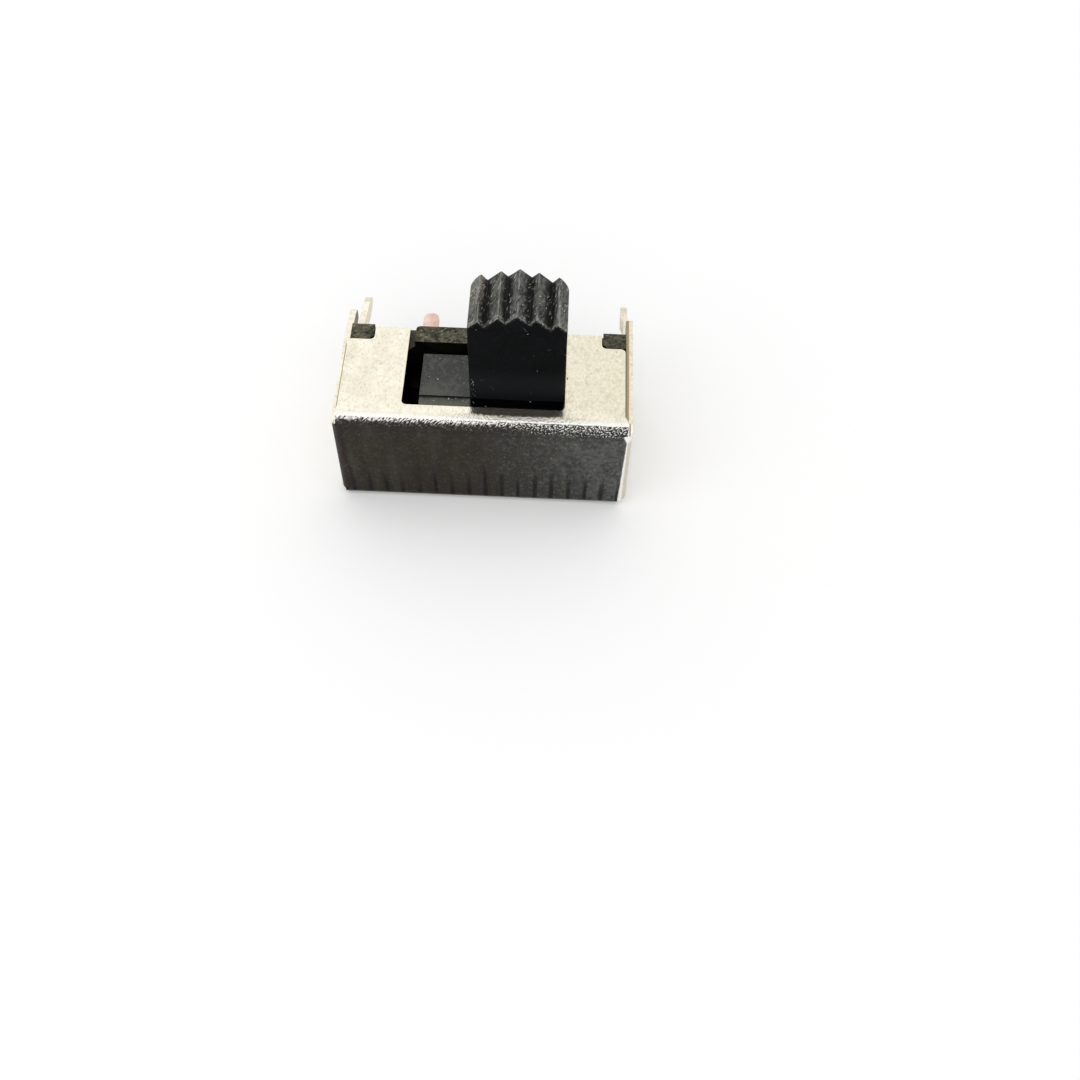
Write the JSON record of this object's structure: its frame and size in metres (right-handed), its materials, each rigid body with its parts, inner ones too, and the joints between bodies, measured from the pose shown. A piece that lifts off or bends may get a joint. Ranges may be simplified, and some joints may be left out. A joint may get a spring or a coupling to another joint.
{
  "type": "slide switch",
  "caption": "Side-actuated slide switch: folded steel shell, moulded base with two rows of pins, and a tall ridged knob that slides in a slot.",
  "frame": {"origin": "centre of the face that the switch stands on, midway between the end walls and midway between the front wall and the back of the base", "axes": "+X along the knob's travel, +Y the way the pins and legs leave the body, +Z the way the knob points"},
  "size_m": [0.0174, 0.0129, 0.0135],
  "materials": {
    "shell_steel": "satin plating, fine pits and specks",
    "base_moulding": "rough, mottled",
    "terminal_copper": "dull copper",
    "slider_plastic": "smooth sides, scuffed ridges",
    "clip_bronze": "plain spring bronze"
  },
  "bodies": {
    "housing": {"shell": "shell_steel", "base": "base_moulding", "terminal_upper_left": "terminal_copper", "terminal_upper_centre": "terminal_copper", "terminal_upper_right": "terminal_copper", "terminal_lower_left": "terminal_copper", "terminal_lower_centre": "terminal_copper", "terminal_lower_right": "terminal_copper"},
    "slider_unit": {"slider": "slider_plastic", "clip_upper": "clip_bronze", "clip_lower": "clip_bronze"}
  },
  "joints": [
    {"name": "knob_slide", "type": "slide", "parent": "housing", "child": "slider_unit", "axis": [1, 0, 0], "range_m": [-0.0038, 0]}
  ]
}
